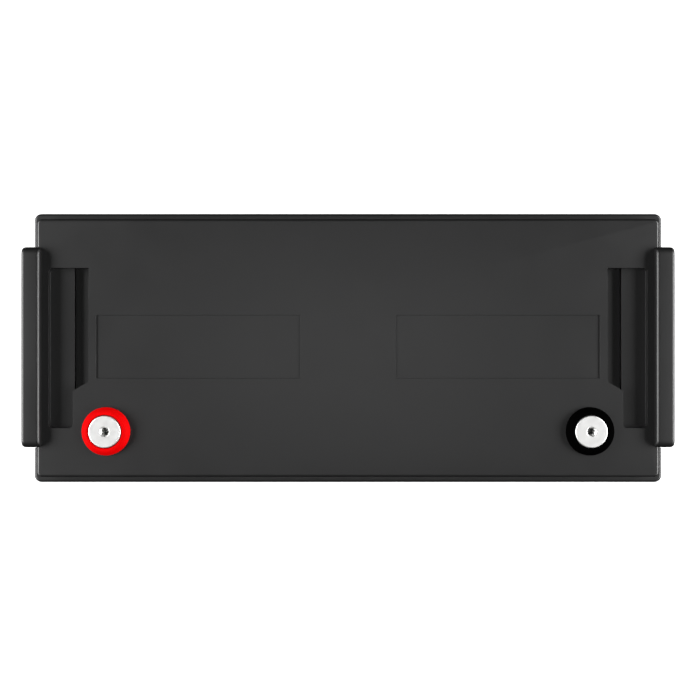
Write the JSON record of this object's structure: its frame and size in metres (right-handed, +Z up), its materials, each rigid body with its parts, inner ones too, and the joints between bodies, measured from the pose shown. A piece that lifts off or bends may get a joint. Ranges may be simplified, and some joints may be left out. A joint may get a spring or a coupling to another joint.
{
  "type": "solar battery",
  "caption": "Sealed rectangular battery: dark plastic case, stepped lid with sunk label panels and finger recesses, threaded posts in red and black collars, swinging end handles.",
  "frame": {"origin": "bottom centre of the case", "axes": "+Z up, +X along the long side from the red collar to the black one, -Y towards the long side that carries the posts"},
  "size_m": [0.547, 0.2274, 0.225],
  "materials": {
    "case_plastic": "fine moulded grain, dark grey",
    "handle_plastic": "smooth satin, dark grey",
    "red_collar": "bright red, smooth",
    "black_collar": "black, smooth",
    "post_metal": "nickel plated, turned",
    "rubber": "matt",
    "steel": "zinc plated",
    "can": "wrapped in blue film",
    "aluminium": "mill finish",
    "copper": "bare copper",
    "sheet": "glass fibre epoxy sheet",
    "foam": "closed-cell foam",
    "chip": "moulded",
    "flex": "amber film",
    "white_plastic": "moulded",
    "sheath": "silicone sheath"
  },
  "bodies": {
    "case": {"case_tub": "case_plastic", "lid": "case_plastic", "positive_ring": "red_collar", "negative_ring": "black_collar", "positive_terminal": "post_metal", "negative_terminal": "post_metal", "lid_seal": "rubber", "positive_oring": "rubber", "negative_oring": "rubber", "handle_pins_left": "steel", "handle_pins_right": "steel", "positive_washer": "steel", "negative_washer": "steel", "positive_nut": "steel", "negative_nut": "steel", "band_front": "steel", "band_back": "steel", "bms_screws": "steel", "tab_bolt_b": "steel", "tab_bolt_p": "steel", "cell_1": "can", "cell_2": "can", "cell_3": "can", "cell_4": "can", "end_plate_left": "aluminium", "end_plate_right": "aluminium", "bms_housing": "aluminium", "bms_cover": "aluminium", "busbar_12": "copper", "busbar_23": "copper", "busbar_34": "copper", "positive_link": "copper", "negative_link": "copper", "bms_tab_b": "copper", "bms_tab_p": "copper", "unit_lug": "copper", "post_lug": "copper", "spacer_12": "sheet", "spacer_23": "sheet", "spacer_34": "sheet", "bms_tray": "sheet", "bms_board": "sheet", "busbar_cover": "sheet", "base_foam": "foam", "end_foam_left": "foam", "end_foam_right": "foam", "back_foam": "foam", "mosfets": "chip", "sense_circuit": "flex", "sense_plug": "white_plastic", "temperature_probe": "white_plastic", "load_cable": "sheath"},
    "left_handle": {"handle_left": "handle_plastic"},
    "right_handle": {"handle_right": "handle_plastic"}
  },
  "joints": [
    {"name": "left_handle_swing", "type": "hinge", "parent": "case", "child": "left_handle", "pos_m": [-0.2665, 0, 0.18], "axis": [0, -1, 0], "range_deg": [0, 175]},
    {"name": "right_handle_swing", "type": "hinge", "parent": "case", "child": "right_handle", "pos_m": [0.2665, 0, 0.18], "axis": [0, 1, 0], "range_deg": [0, 175]}
  ]
}
